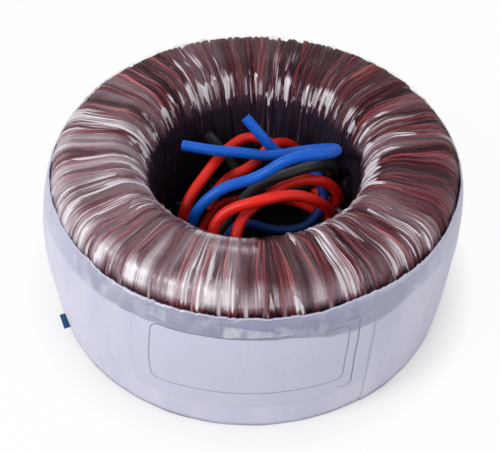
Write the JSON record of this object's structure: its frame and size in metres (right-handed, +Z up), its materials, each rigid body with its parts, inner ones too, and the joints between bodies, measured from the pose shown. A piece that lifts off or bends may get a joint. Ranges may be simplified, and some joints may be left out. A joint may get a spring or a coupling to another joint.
{
  "type": "toroidal mains transformer",
  "caption": "Toroidal transformer: domed ring of copper turns under clear film, white tape band with a blank label, and flexible leads tucked into the bore.",
  "frame": {"origin": "on the surface it rests on, under the middle of the tape band", "axes": "+Z up along the bore, -Y towards the label, +X to the label's right end"},
  "size_m": [0.1295, 0.1292, 0.0563],
  "materials": {
    "magnet_wire": "dark red-brown enamel on copper",
    "core_steel": "grain-oriented strip",
    "pressboard": "pressboard",
    "core_tape": "yellowish polyester tape",
    "clear_film": "clear polyester film in many layers",
    "white_tape": "white adhesive tape",
    "label_paper": "white paper",
    "blue_tape": "blue tape",
    "sleeving": "dark woven sleeving",
    "red_insulation": "red silicone insulation",
    "blue_insulation": "blue insulation",
    "black_insulation": "black insulation"
  },
  "bodies": {
    "root": {"core_strip_roll": "core_steel", "core_end_ring_top": "pressboard", "core_end_ring_bottom": "pressboard", "core_bore_liner": "pressboard", "core_rim_liner": "pressboard", "core_tape_coat": "core_tape", "primary_winding": "magnet_wire", "winding_barrier_film": "clear_film", "secondary_winding": "magnet_wire", "clear_film_wrap": "clear_film", "tape_band": "white_tape", "label": "label_paper", "clear_band_strip": "clear_film", "anchor_tape": "blue_tape", "red_lead_1": "red_insulation", "red_lead_2": "red_insulation", "blue_lead_1": "blue_insulation", "blue_lead_2": "blue_insulation", "black_lead": "black_insulation", "red_splice_sleeve_1": "sleeving", "red_splice_sleeve_2": "sleeving", "blue_splice_sleeve_1": "sleeving", "blue_splice_sleeve_2": "sleeving", "black_splice_sleeve": "sleeving"}
  },
  "joints": []
}
